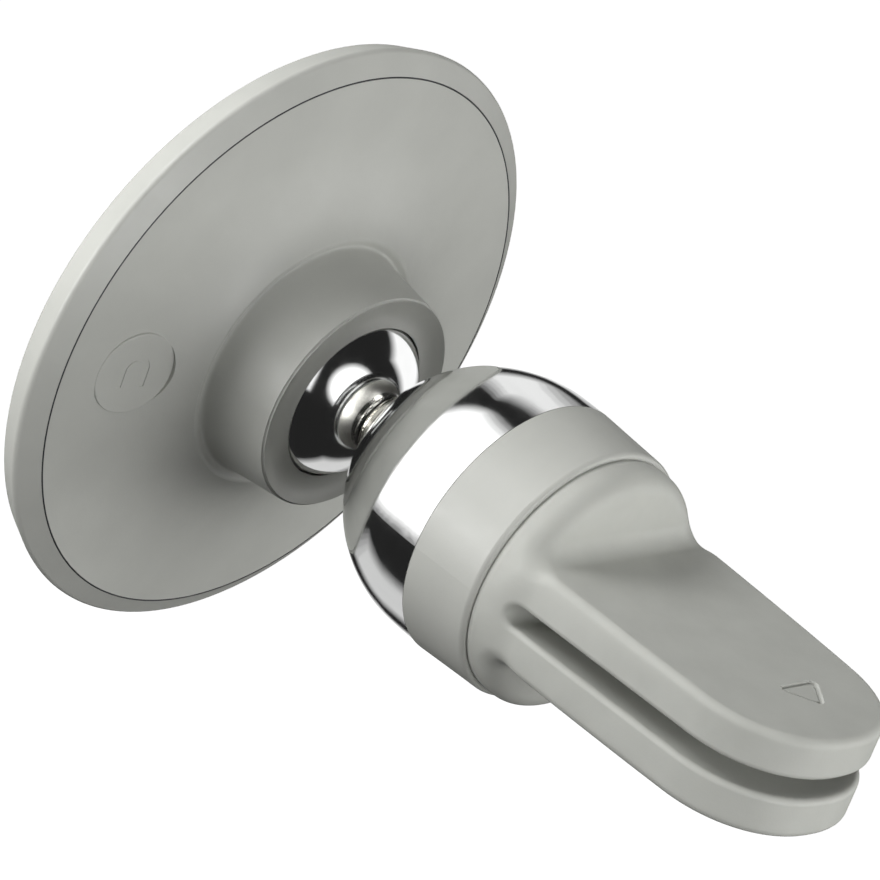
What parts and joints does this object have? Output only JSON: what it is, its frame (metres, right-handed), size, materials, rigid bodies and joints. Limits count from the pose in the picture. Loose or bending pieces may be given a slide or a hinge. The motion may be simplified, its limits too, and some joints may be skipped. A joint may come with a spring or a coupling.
{
  "type": "car phone mount",
  "caption": "Magnetic phone mount: disc head on a chrome ball stud, domed body and a two-jaw silicone clip for an air-vent blade.",
  "frame": {"origin": "middle of the vent slot's mouth, between the tips of the two jaws", "axes": "+Y from the phone's face to the tips of the jaws, along the common axis of head, stud and body; +Z square to the jaws' flat faces; +X along the vent blade"},
  "size_m": [0.0582, 0.0763, 0.0582],
  "materials": {
    "pad_silicone": "matt, very fine grain",
    "adhesive": "thin foam tape",
    "shell_plastic": "soft-touch satin with a very fine grain",
    "inner_plastic": "moulded",
    "magnet": "nickel plated",
    "steel": "plain",
    "bearing_plastic": "natural acetal",
    "chrome": "polished",
    "satin_nickel": "bead-blasted nickel",
    "brass": "turned",
    "clip_silicone": "matt silicone"
  },
  "bodies": {
    "clip_body": {"slip_washer": "chrome", "stud_bush": "brass", "dome_cap": "chrome", "bearing_block": "inner_plastic", "collar_ring": "shell_plastic", "clip_frame": "inner_plastic", "frame_screws": "steel", "clip_boot": "clip_silicone"},
    "stud": {"ball_stud": "chrome", "neck_ferrule": "satin_nickel", "stud_washer": "steel", "stud_nut": "steel"},
    "seats": {"front_seat": "bearing_plastic", "rear_seat": "bearing_plastic", "disc_spring": "steel"},
    "head": {"phone_pad": "pad_silicone", "pad_adhesive": "adhesive", "front_shell": "shell_plastic", "magnet_carrier": "inner_plastic", "magnet_ring": "magnet", "yoke_ring": "steel", "back_cover": "shell_plastic", "clamp_plate": "steel", "clamp_screws": "steel"},
    "upper_jaw": {"upper_jaw_core": "inner_plastic", "upper_jaw_cover": "clip_silicone"},
    "lower_jaw": {"lower_jaw_core": "inner_plastic", "lower_jaw_cover": "clip_silicone"}
  },
  "joints": [
    {"name": "stud_swivel", "type": "hinge", "parent": "clip_body", "child": "stud", "pos_m": [0, -0.0654, 0], "axis": [0, 1, 0], "continuous": true},
    {"name": "ball_tilt", "type": "hinge", "parent": "stud", "child": "seats", "pos_m": [0, -0.0654, 0], "axis": [1, 0, 0], "range_deg": [-35, 35]},
    {"name": "head_spin", "type": "hinge", "parent": "seats", "child": "head", "pos_m": [0, -0.0654, 0], "axis": [0, 1, 0], "continuous": true},
    {"name": "upper_jaw_flex", "type": "hinge", "parent": "clip_body", "child": "upper_jaw", "pos_m": [0, -0.0302, 0.003], "axis": [1, 0, 0], "range_deg": [-1.5, 5], "stiffness_Nm_per_rad": 3},
    {"name": "lower_jaw_flex", "type": "hinge", "parent": "clip_body", "child": "lower_jaw", "pos_m": [0, -0.0302, -0.003], "axis": [-1, 0, 0], "range_deg": [-1.5, 5], "stiffness_Nm_per_rad": 3}
  ]
}
